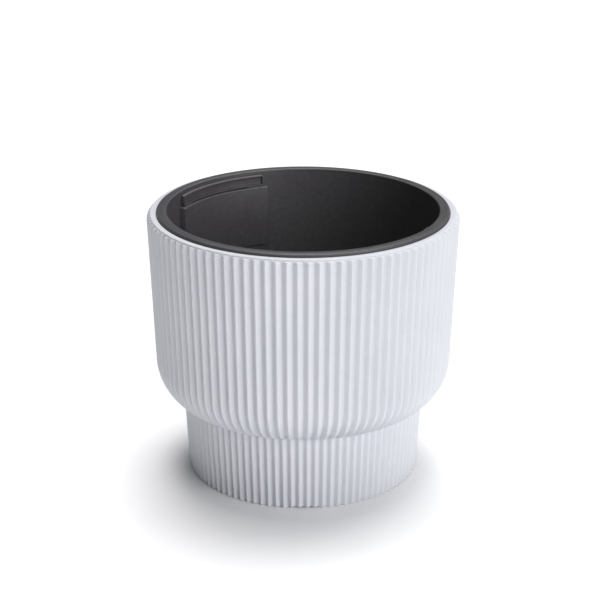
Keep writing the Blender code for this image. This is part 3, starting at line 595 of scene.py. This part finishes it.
def coverInside(size, top, crest):
    # (radius, z) from the foot's inner edge up through the floor, the bowl and the ledge to the lip
    slope, footSlope = math.tan(math.radians(size["taper"])), math.tan(math.radians(size["footTaper"]))
    skin = size["skin"]
    footTop = crest - size["footInset"]
    start = size["footHeight"] + size["cornerDown"] * size["innerStart"]
    centre = crest - (top - start) * slope - size["cornerAcross"]
    across, down = size["cornerAcross"] - skin, size["cornerDown"] - skin
    turn = np.linspace(math.acos((footTop - skin - centre) / across), 0, 9)
    bowl = [(centre + across * math.cos(a), start - down * math.sin(a), 0) for a in turn]
    ledge = size["seatRadius"] - size["seatWidth"]
    under = top - size["seatDrop"] - size["seatThick"]
    flare = under - size["seatFlare"]

    def footInside(z):
        return footTop - (size["footHeight"] - z) * footSlope - skin

    low, high, drain = size["floorBase"], size["floorTop"], size["drainRadius"]
    seat = under + size["seatThick"]
    foot = [(footInside(0.0), 0.0, 0.0006), (footInside(low), low, 0.0012), (drain, low, 0.0004),
            (drain, high, 0.0004), (footInside(high), high, 0.0020)]
    rest = [(crest - (top - flare) * slope - skin, flare, 0), (ledge, under, 0.0006), (ledge, seat, 0.0005),
            (size["seatRadius"], seat, 0.0004)]
    return foot + bowl + rest


def makeCover(size):
    # point = (radius - nr sink) turned by the rib's angle, z - nz sink, sink = rib depth (1 - wave)
    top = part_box("cover_pot")[1].z
    crest = nodeReach("cover_pot")
    turn, wave = ribWave(size["ribs"], size["crestRound"], size["valleyRound"])
    radius, z, normal, risen = coverOutside(size, top, crest)
    depth = size["ribDepth"] * radius / crest * risen
    sink = depth[:, None] * (1 - wave)[None, :]
    outR = radius[:, None] - normal[:, :1] * sink
    outZ = z[:, None] - normal[:, 1:] * sink
    # foot's lower edge: a small quarter round on every rib, radius - f (1 - cos), z = f (1 - sin)
    edge = size["footEdge"]
    quarter = np.linspace(0, math.pi / 2, 4)[1:, None]
    edgeR = outR[-1:] - edge * (1 - np.cos(quarter))
    edgeZ = edge * (1 - np.sin(quarter)) + 0 * outR[-1:]
    lip = crest - size["lipSetback"]
    corners = coverInside(size, top, crest)
    corners += [(size["seatRadius"], top, size["lipRound"]), (lip, top, size["lipRound"]), (lip, z[0], 0)]
    plain = roundOff([(edgeR[-1].min(), 0.0, 0)] + corners, 4, closed=False)[1:-1]
    flat = np.ones((1, len(wave)))
    gridR = np.concatenate([plain[:, :1] * flat, outR, edgeR])
    gridZ = np.concatenate([plain[:, 1:] * flat, outZ, edgeZ])
    # air notches: z + height, smoothed at both sides and fading out above the foot's edge
    notchAt = (turn + tau / 2 / size["notches"]) % (tau / size["notches"]) - tau / 2 / size["notches"]
    reach = np.abs(notchAt) * radius[-1]
    notch = np.clip((size["notchWidth"] / 2 - reach) / size["notchSide"] + 0.5, 0, 1)
    notch = notch ** 2 * (3 - 2 * notch)
    low, high = size["notchFade"]
    gridZ = gridZ + size["notchHeight"] * notch * np.clip((high - gridZ) / (high - low), 0, 1)
    around = turn + front
    grid = np.stack([gridR * np.cos(around), gridR * np.sin(around), gridZ], axis=-1)
    mesh = buildMesh("coverPot", [(grid, "loop")], 40.0)
    # painted shade in the rib valleys and painted highlight on their crests
    paintRibShadeAndHighlight(mesh, np.concatenate([0 * plain[:, 0], risen, np.ones(len(quarter))]), wave)
    thing = addObject("coverPot", mesh)
    finishPiece(thing, "cover", "cover", "cover_pot")
    print("cover pot:", len(mesh.polygons), "faces")


def paintRibShadeAndHighlight(mesh, risen, wave):
    # point attributes for painted shade and highlight on the ribs: groove = risen (1 - wave)^3 darkens the
    # valleys, crest = risen wave^6 lightens the crests
    groove = (risen[:, None] * (1 - wave)[None] ** 3).ravel()
    crest = (risen[:, None] * wave[None] ** 6).ravel()
    for name, values in (("groove", groove), ("crest", crest)):
        layer = mesh.attributes.new(name, "FLOAT", "POINT")
        layer.data.foreach_set("value", values[:len(mesh.vertices)].astype(np.float32))


def nodeReach(node):
    # largest distance of a CAD node's points from the Z axis
    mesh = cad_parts[node].data
    points = np.empty(len(mesh.vertices) * 3, np.float32)
    mesh.vertices.foreach_get("co", points)
    return float(np.hypot(*points.reshape(-1, 3)[:, :2].T).max())


makeCover(coverSize)


# What passes through the liner's floor and the separator, and where it stands.

standing = {
    "cupOrbit": 0.0450, "cupTurn": 80.0, "cups": 3, "weeps": 6, "weepHole": 0.0025, "weepOrbit": 0.0140,
    "tubeOrbit": 0.077504, "gaugeTurn": 225.0, "gaugeHole": 0.0111, "fillerTurn": 262.0, "fillerHole": 0.0146,
}
gaugeTurn, fillerTurn = math.radians(standing["gaugeTurn"]), math.radians(standing["fillerTurn"])
gaugeAt = onCircle(standing["tubeOrbit"], gaugeTurn)
fillerAt = onCircle(standing["tubeOrbit"], fillerTurn)
cupAts = [onCircle(standing["cupOrbit"], math.radians(standing["cupTurn"]) + tau * index / standing["cups"])
          for index in range(standing["cups"])]


def passages(cupHole, low, high):
    # cutters for the cups, the gauge, the filler and the weep holes
    cutters = [hole(cupHole, low, high, at, 72) for at in cupAts]
    cutters.append(hole(standing["gaugeHole"], low, high, gaugeAt))
    cutters.append(hole(standing["fillerHole"], low, high, fillerAt))
    for index in range(standing["weeps"]):
        at = onCircle(standing["weepOrbit"], tau * index / standing["weeps"])
        cutters.append(hole(standing["weepHole"], low, high, at, 24))
    return cutters


# Liner: a turned pail with a crowned rim and a fine line on it, its floor open for cups and tubes.

linerSize = {
    "rimRadius": 0.1400, "rimInner": 0.1303, "rimThick": 0.0062, "outerRound": 0.0015, "innerRound": 0.0012,
    "lineAt": 0.1366, "lineWide": 0.0007, "lineDeep": 0.00016, "wall": 0.0022, "taper": 1.2, "corner": 0.0300,
    "base": 0.0840, "cupHole": 0.01873, "columns": 288, "past": 0.004,
}


def linerProfile(size, top):
    # (radius, z, fillet) from the floor up the inside, over the rim, down the back and under the floor:
    # wall radius = rimInner - (top - z) tan taper, corner = quarter circle
    slope = math.tan(math.radians(size["taper"]))
    floor, wall = size["base"] + size["wall"], size["wall"]

    def inside(z):
        return size["rimInner"] - (top - z) * slope

    level = floor + size["corner"]
    flat = inside(level) - size["corner"]
    under = top - size["rimThick"]
    line, half, deep = size["lineAt"], size["lineWide"] / 2, size["lineDeep"]
    turn = np.linspace(0, math.pi / 2, 12)
    near, far = size["corner"], size["corner"] + wall
    inner = [(flat + near * math.cos(a), level - near * math.sin(a), 0) for a in turn[::-1]]
    outer = [(flat + far * math.cos(a), level - far * math.sin(a), 0) for a in turn]
    walls = [(inside(z), z, 0) for z in (0.150, 0.190, 0.225, 0.252, top - 0.0035)]
    backs = [(inside(z) + wall, z, 0) for z in (0.225, 0.150)]
    edge = size["rimRadius"]
    rim = [(inside(top), top, size["innerRound"]), (line - 0.0018, top, 0), (line - half, top, 0.0001),
           (line, top - deep, 0.0002), (line + half, top, 0.0001), (edge, top, size["outerRound"]),
           (edge, under, 0.0004), (inside(under) + wall, under, 0.0010)]
    start = [(0.0, floor, 0), (0.02, floor, 0), (0.06, floor, 0)]
    end = [(0.06, size["base"], 0), (0.0, size["base"], 0)]
    return start + inner + walls + rim + backs + outer + end


def makeLiner(size):
    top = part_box("liner")[1].z
    profile = roundOff(linerProfile(size, top), 5, closed=False)
    thing = addPiece("linerPail", (turned(profile, size["columns"]), "pole"))
    floor = size["base"] + size["wall"]
    carve(thing, passages(size["cupHole"], size["base"] - size["past"], floor + size["past"]))
    finishPiece(thing, "liner", "liner_unit", "liner")
    print("liner:", len(thing.data.polygons), "faces")


makeLiner(linerSize)


# Sleeves on the liner's wall and the two handles that slide in them.

handleSize = {
    "turn": 133.0, "halfAngle": 24.4, "front": 0.125587, "back": 0.129487, "base": 0.2493, "top": 0.2603,
    "flange": 0.0017, "web": 0.0014, "lipRound": 0.0005, "cornerRound": 0.0008, "blockRound": 0.0009,
    "topCorner": 0.0024,
    "legWidth": 0.0160, "legInset": 0.0006, "legThick": 0.0020, "legSetback": 0.0003, "legEdge": 0.0003,
    "footWidth": 0.0035, "footHeight": 0.0050, "legBase": 0.1916,
}
sleeveSize = {
    "halfAngle": 26.2, "front": 0.123287, "back": 0.1307, "base": 0.1866, "top": 0.2486, "edge": 0.0009,
    "play": 0.0004, "shoulder": 0.2419,
}


def legOutline(size, play, base, shoulder, top, fillet):
    # (y, z) strip with a foot towards the handle's middle
    reach = size["legWidth"] / 2 + play
    foot = reach + size["footWidth"]
    return [(reach, base, fillet), (reach, top, 0), (-reach, top, 0), (-reach, shoulder, fillet / 2),
            (-foot, shoulder, fillet), (-foot, base, fillet)]


def legPair(size, outline, low, high, edge, middle):
    # the outline and its mirror image, each turned to its own end of the handle
    turn = math.radians(size["halfAngle"]) - (size["legWidth"] / 2 + size["legInset"]) / size["front"]
    mirrored = [(-y, z, fillet) for y, z, fillet in outline]
    return [place(plate(shape, low, high, edge), facing, turn=middle + side * turn)
            for shape, side in ((outline, 1), (mirrored, -1))]


def makeSleeve(name, size, handle, middle):
    # block (r, z) bent along the wall, with a pocket for each leg open at its top and bottom
    half = math.radians(size["halfAngle"]) * size["front"]
    edge = size["edge"]
    corners = oblong(size["front"], size["base"], size["back"], size["top"], edge)
    rings = bend(plate(corners, -half, half, edge, 4, 40), size["front"], middle)
    thing = addPiece(name, (rings, "cap"))
    play, past = size["play"], 0.005
    slot = handle["front"] + handle["legSetback"] - play
    depth = handle["legThick"] + 2 * play
    outline = legOutline(handle, play, size["base"] - past, size["shoulder"], size["top"] + past, 0.0004)
    carve(thing, [(rings, "cap") for rings in legPair(handle, outline, slot, slot + depth, 0.0, middle)])
    finishPiece(thing, "liner", "liner_unit")


def cornerCutters(size, middle):
    # what lies outside a quarter circle at the bar's two upper end corners, (y, z) through the depth
    reach, top, past = size["topCorner"], size["top"], 0.001
    turn = np.linspace(0, math.pi / 2, 9)
    arc = [(-reach + reach * math.sin(a), top - reach + reach * math.cos(a), 0) for a in turn]
    outline = [(-reach, top + past, 0)] + arc + [(past, top - reach, 0), (past, top + past, 0)]
    half, deep = math.radians(size["halfAngle"]), 2 * past
    cutters = []
    for side in (1, -1):
        shape = [(side * y, z, 0) for y, z, _ in outline]
        rings = plate(shape, size["front"] - deep, size["back"] + deep, 0.0)
        cutters.append((place(rings, facing, turn=middle + side * half), "cap"))
    return cutters


def makeHandle(name, size, middle, body, node):
    # C section swept along the rim, closed by an end plate on each side, with two legs under it
    front, back, base, top = size["front"], size["back"], size["base"], size["top"]
    flange, lip = size["flange"], size["lipRound"]
    near, far, low, high = front + hair, back - hair, base + hair, top - hair
    deep = back - size["web"]
    section = [(near, low, lip), (far, low, lip), (far, high, lip), (near, high, lip),
               (near, top - flange, lip), (deep, top - flange, 0.0006), (deep, base + flange, 0.0006),
               (near, base + flange, lip)]
    half = math.radians(size["halfAngle"]) * front
    corner = size["cornerRound"]
    channel = bend(plate(section, corner - half, half - corner, 0.0, 4, 40), front, middle)
    thing = addPiece(name, (channel, "cap"))
    block = oblong(front, base, back, top, size["blockRound"])
    ends = [bend(plate(block, *pair, corner, 4, 2), front, middle)
            for pair in ((-half, flange - half), (half - flange, half))]
    foot = size["legBase"]
    outline = legOutline(size, 0.0, foot, foot + size["footHeight"], base + flange / 2, 0.0006)
    legFront = front + size["legSetback"]
    legs = legPair(size, outline, legFront, legFront + size["legThick"], size["legEdge"], middle)
    join(thing, *ends, *legs)
    carve(thing, cornerCutters(size, middle))
    finishPiece(thing, "liner", body, node)
    print(name + ":", len(thing.data.polygons), "faces")


rearMiddle = math.radians(handleSize["turn"])
makeSleeve("sleeveRearLeft", sleeveSize, handleSize, rearMiddle)
makeSleeve("sleeveFrontRight", sleeveSize, handleSize, rearMiddle + math.pi)
makeHandle("handleRearLeft", handleSize, rearMiddle, "rear_left_handle", "handle_rear_left")
makeHandle("handleFrontRight", handleSize, rearMiddle + math.pi, "front_right_handle", "handle_front_right")


# Separator: a perforated plate on a ring skirt.

separatorSize = {
    "radius": 0.104004, "base": 0.0945, "top": 0.0965, "skirtInner": 0.093004, "skirtOuter": 0.095004,
    "skirtBase": 0.0865, "edge": 0.0006, "bend": 0.0010, "step": 0.0003, "cupHole": 0.01919,
    "slots": 13, "slotStart": 292.0, "slotStep": 20.0, "slotLength": 0.0120, "slotWidth": 0.0034,
}


def makeSeparator(size):
    # turned plate with a skirt below and a rim just proud of its middle, then its holes and radial slots
    edge, crook, radius, base, top = size["edge"], size["bend"], size["radius"], size["base"], size["top"]
    inner, outer, foot, face = size["skirtInner"], size["skirtOuter"], size["skirtBase"], top - size["step"]
    corners = [(0.0, base, 0), (0.05, base, 0), (inner, base, crook), (inner, foot, edge),
               (outer, foot, edge), (outer, base, crook), (radius, base, edge), (radius, top, edge),
               (radius - 0.0022, top, 0), (radius - 0.0026, face, 0), (0.05, face, 0), (0.0, face, 0)]
    thing = addPiece("separatorPlate", (turned(roundOff(corners, 4, closed=False), 192), "pole"))
    low, high = base - 0.002, top + 0.002
    cutters = passages(size["cupHole"], low, high)
    long, wide = size["slotLength"], size["slotWidth"]
    for index in range(size["slots"]):
        turn = math.radians(size["slotStart"] + index * size["slotStep"])
        cutters.append(slotHole(long, wide, low, high, standing["tubeOrbit"], turn))
    carve(thing, cutters)
    finishPiece(thing, "insert", "liner_unit", "separator_plate")


makeSeparator(separatorSize)


# Wick cups and the fibre rods in them.

cupSize = {
    "mouth": 0.0185, "draft": 0.0035, "base": 0.0198, "seat": 0.0968, "flange": 0.0040, "wall": 0.0016,
    "rodHole": 0.0048, "windowWidth": 0.0050, "windowLow": 0.0248, "windowHigh": 0.0508, "edge": 0.0006,
}
wickSize = {
    "radius": 0.0045, "base": 0.0148, "top": 0.1134, "strands": 3, "twist": 110.0, "groove": 0.0007,
    "blunt": 0.0012, "endShare": 0.72,
}


def makeCup(size, index, at):
    # turned wall (radius, z) from the rod's hole up the outside, over the flange and down the inside
    mouth, foot, wall, edge = size["mouth"], size["mouth"] - size["draft"], size["wall"], size["edge"]
    base, seat, hub, rim = size["base"], size["seat"], size["rodHole"], size["mouth"] + size["flange"]
    top = seat + wall
    corners = [(hub, base, 0.0003), (foot, base, 0.0016), (mouth, seat, 0.0003), (rim, seat, edge),
               (rim, top, edge), (mouth - wall, top, edge), (foot - wall, base + wall, 0.0010),
               (hub, base + wall, 0.0003)]
    thing = addPiece(f"wickCup{index}", (turned(roundOff(corners, 4), 72, at), "loop"))
    wide, low, high = size["windowWidth"], size["windowLow"], size["windowHigh"]
    carve(thing, [window(wide, low, high, 0.026, at, turn) for turn in crossed])
    finishPiece(thing, "insert", "liner_unit", f"wick_cup_{index}")


def makeWick(size, index, at):
    # radius = R - groove (1 - |cos(strands (turn - twist z) / 2)|), its two ends rounded
    turn = np.arange(48) * tau / 48
    z = np.linspace(size["base"], size["top"], 90)[:, None]
    grooves = 1 - np.abs(np.cos(size["strands"] * (turn - size["twist"] * z) / 2))
    near = np.minimum(z - size["base"], size["top"] - z)
    blunt = np.sqrt(1 - (1 - np.clip(near / size["blunt"], 0, 1)) ** 2)
    radius = (size["radius"] - size["groove"] * grooves) * (size["endShare"] + (1 - size["endShare"]) * blunt)
    grid = np.stack([radius * np.cos(turn) + at[0], radius * np.sin(turn) + at[1], z + 0 * turn], axis=-1)
    name = f"wickRod{index}"
    thing = addObject(name, buildMesh(name, [(grid, "cap")], 60.0))
    finishPiece(thing, "fibre", "liner_unit", f"wick_rod_{index}")


for number, spot in enumerate(cupAts, start=1):
    makeCup(cupSize, number, spot)
    makeWick(wickSize, number, spot)
print("separator, cups and wicks made")


# Water gauge: tube, float, red rod and clear cap with three level rings.

gaugeSize = {
    "radius": 0.0105, "wall": 0.0015, "base": 0.0148, "tubeTop": 0.1860, "web": 0.0020, "rodHole": 0.0023,
    "windowWidth": 0.0060, "windowHigh": 0.0288, "capBase": 0.1863, "capTop": 0.2360,
    "rings": (0.1935, 0.2100, 0.2265), "ringDeep": 0.00025, "ringHalf": 0.0005,
    "floatRadius": 0.0082, "floatBase": 0.0151, "floatTop": 0.0391,
    "rodRadius": 0.0018, "rodBase": 0.0394, "flagRadius": 0.0042, "flagBase": 0.1863, "flagTop": 0.1898,
}


def turnedPiece(name, corners, closing, columns, at, finish, body, node, cutters=()):
    # (radius, z, fillet) outline turned about an upright axis, then cut
    grid = turned(roundOff(corners, 4, closed=closing == "loop"), columns, at)
    thing = addPiece(name, (grid, closing))
    if cutters:
        carve(thing, cutters)
    finishPiece(thing, finish, body, node)


def makeGauge(size, at):
    radius, bore, base, top = size["radius"], size["radius"] - size["wall"], size["base"], size["tubeTop"]
    wide, high = size["windowWidth"], size["windowHigh"]
    cutters = [window(wide, base - 0.01, high, 0.02, at, gaugeTurn + turn) for turn in crossed]
    hub, under = size["rodHole"], top - size["web"]
    tube = [(bore, base, 0.0004), (radius, base, 0.0004), (radius, top, 0.0005), (hub, top, 0.0002),
            (hub, under, 0.0002), (bore, under, 0.0006)]
    turnedPiece("gaugeTube", tube, "loop", 64, at, "insert", "liner_unit", "gauge_tube", cutters)
    low, high = size["capBase"], size["capTop"]
    cap = [(0.0, high - size["wall"], 0), (bore, high - size["wall"], 0.0020), (bore, low, 0.0003),
           (radius, low, 0.0003)]
    half, dent = size["ringHalf"], radius - size["ringDeep"]
    for z in size["rings"]:
        cap += [(radius, z - half, 0.0001), (dent, z, 0.0002), (radius, z + half, 0.0001)]
    cap += [(radius, high, 0.0030), (0.0, high, 0)]
    turnedPiece("gaugeCap", cap, "pole", 64, at, "clear", "liner_unit", "gauge_cap")
    wide, low, high = size["floatRadius"], size["floatBase"], size["floatTop"]
    turnedPiece("gaugeFloat", [(0.0, low, 0), (wide, low, 0.0012), (wide, high, 0.0012), (0.0, high, 0)],
                "pole", 48, at, "foam", "level_float", "gauge_float")
    thin, base = size["rodRadius"], size["rodBase"]
    flag, low, high = size["flagRadius"], size["flagBase"], size["flagTop"]
    rod = [(0.0, base, 0), (thin, base, 0.0004), (thin, low, 0.0002), (flag, low, 0.0005),
           (flag, high, 0.0010), (0.0, high, 0)]
    turnedPiece("gaugeRod", rod, "pole", 40, at, "red", "level_float", "gauge_rod")


makeGauge(gaugeSize, gaugeAt)


# Filler: shaft with a collar, hinge lugs, a lid with a tab, and the hinge pin.

fillerSize = {
    "radius": 0.0140, "wall": 0.0016, "base": 0.0148, "top": 0.2337, "collar": 0.0165, "collarHigh": 0.0060,
    "windowWidth": 0.0060, "windowHigh": 0.0288, "hingeX": 0.0201, "hingeZ": 0.2336, "knuckle": 0.0024,
    "knuckleLong": 0.0050, "knuckleGap": 0.0003, "lugWidth": 0.0045, "pin": 0.0010, "pinHole": 0.0013,
    "lidBase": 0.2340, "lidTop": 0.2360, "tabFar": 0.0215, "tabNear": 0.0140, "tabHalf": 0.0050,
    "dish": 0.0120, "dishDeep": 0.0004,
}


def atFiller(rings, axes=upright, origin=(0.0, 0.0, 0.0)):
    # from the planter's middle out to the shaft, X pointing outwards
    return place(rings, axes, (standing["tubeOrbit"] + origin[0], origin[1], origin[2]), fillerTurn)


def makeFiller(size):
    # turned shaft, two knuckles with their lugs joined to it, then its windows and the pin's hole
    radius, bore, base, top = size["radius"], size["radius"] - size["wall"], size["base"], size["top"]
    collar, shoulder = size["collar"], top - size["collarHigh"]
    tube = [(bore, base, 0.0004), (radius, base, 0.0004), (radius, shoulder, 0.0005),
            (collar, shoulder, 0.0005), (collar, top, 0.0005), (bore, top, 0.0003)]
    thing = addPiece("fillerTube", (turned(roundOff(tube, 4), 96, fillerAt), "loop"))
    hinge = (size["hingeX"], 0.0, size["hingeZ"])
    long, gap, lugTop = size["knuckleLong"], size["knuckleGap"], top - 0.0003
    lugBase, lugStart = hinge[2] - size["knuckle"] / 2, radius + 0.0004
    lugShape = [(lugStart, lugBase, 0), (hinge[0], lugBase, 0), (hinge[0], lugTop, 0.0002),
                (lugStart, lugTop, 0)]
    for side in (-1, 1):
        middle = side * (long + gap)
        knuckle = disc(size["knuckle"], middle - long / 2, middle + long / 2, 0.0003, 40)
        lug = plate(lugShape, middle - size["lugWidth"] / 2, middle + size["lugWidth"] / 2, 0.0002)
        join(thing, atFiller(knuckle, lying, hinge), atFiller(lug, lying))
    wide, high = size["windowWidth"], size["windowHigh"]
    cutters = [window(wide, base - 0.01, high, 0.03, fillerAt, fillerTurn + turn) for turn in crossed]
    cutters.append((atFiller(disc(size["pinHole"], -0.010, 0.010, 0.0, 32), lying, hinge), "cap"))
    carve(thing, cutters)
    finishPiece(thing, "insert", "liner_unit", "filler_tube")
    half = 1.5 * long + gap
    pin = addPiece("hingePin", (atFiller(disc(size["pin"], -half, half, 0.0002, 32), lying, hinge), "cap"))
    finishPiece(pin, "steel", "liner_unit", "filler_hinge_pin")
    makeLid(size, hinge)


def makeLid(size, hinge):
    # turned lid with a shallow dish, joined with a thumb tab, a strap and the middle knuckle
    low, high, collar = size["lidBase"], size["lidTop"], size["collar"]
    dish, sunk = size["dish"], high - size["dishDeep"]
    lid = [(0.0, low, 0), (collar, low, 0.0004), (collar, high, 0.0006), (dish, high, 0.0004),
           (dish - 0.0005, sunk, 0.0004), (0.0, sunk, 0)]
    thing = addPiece("fillerLid", (turned(roundOff(lid, 4, closed=False), 96, fillerAt), "pole"))
    near, reach, half = size["tabNear"], size["tabFar"], size["tabHalf"]
    tab = [(-reach, -half, 0.0022), (-near, -half, 0), (-near, half, 0), (-reach, half, 0.0022)]
    wide = (size["knuckleLong"] - size["knuckleGap"]) / 2
    strap = oblong(near, -wide, hinge[0], wide, 0)
    knuckle = disc(size["knuckle"], -wide, wide, 0.0003, 40)
    join(thing, atFiller(plate(tab, low + hair, high - hair, 0.0004)),
         atFiller(plate(strap, low + hair, high - hair, 0.0002)), atFiller(knuckle, lying, hinge))
    carve(thing, [(atFiller(disc(size["pinHole"], -0.006, 0.006, 0.0, 32), lying, hinge), "cap")])
    finishPiece(thing, "liner", "fill_lid", "filler_lid")


makeFiller(fillerSize)


# Drain plug with its grip, and the ring under the floor.

drainSize = {
    "stem": 0.0086, "stemTop": 0.0136, "head": 0.0150, "headBase": 0.0050, "headTop": 0.0078,
    "gripLong": 0.0225, "gripWide": 0.0040, "gripBase": 0.0022, "sealInner": 0.0092, "sealOuter": 0.0128,
    "sealBase": 0.0081, "sealTop": 0.0097,
}


def makeDrain(size):
    # turned head and stem with a bar to grip; the seal is a turned ring
    low, high, head = size["headBase"], size["headTop"], size["head"]
    stem, stemTop = size["stem"], size["stemTop"]
    plug = [(0.0, low, 0), (head, low, 0.0008), (head, high, 0.0004), (stem, high, 0.0003),
            (stem, stemTop, 0.0008), (0.0, stemTop, 0)]
    thing = addPiece("drainPlug", (turned(roundOff(plug, 4, closed=False), 72), "pole"))
    x, y = size["gripLong"] / 2, size["gripWide"] / 2
    join(thing, plate(oblong(-x, -y, x, y, 0.0016), size["gripBase"], (low + high) / 2, 0.0006))
    finishPiece(thing, "insert", "cover", "drain_plug")
    inner, outer, low, high = size["sealInner"], size["sealOuter"], size["sealBase"], size["sealTop"]
    ring = oblong(inner, low, outer, high, 0.0006)
    turnedPiece("drainSeal", ring, "loop", 72, (0.0, 0.0), "rubber", "cover", "drain_seal")


makeDrain(drainSize)
print("gauge, filler and drain made")
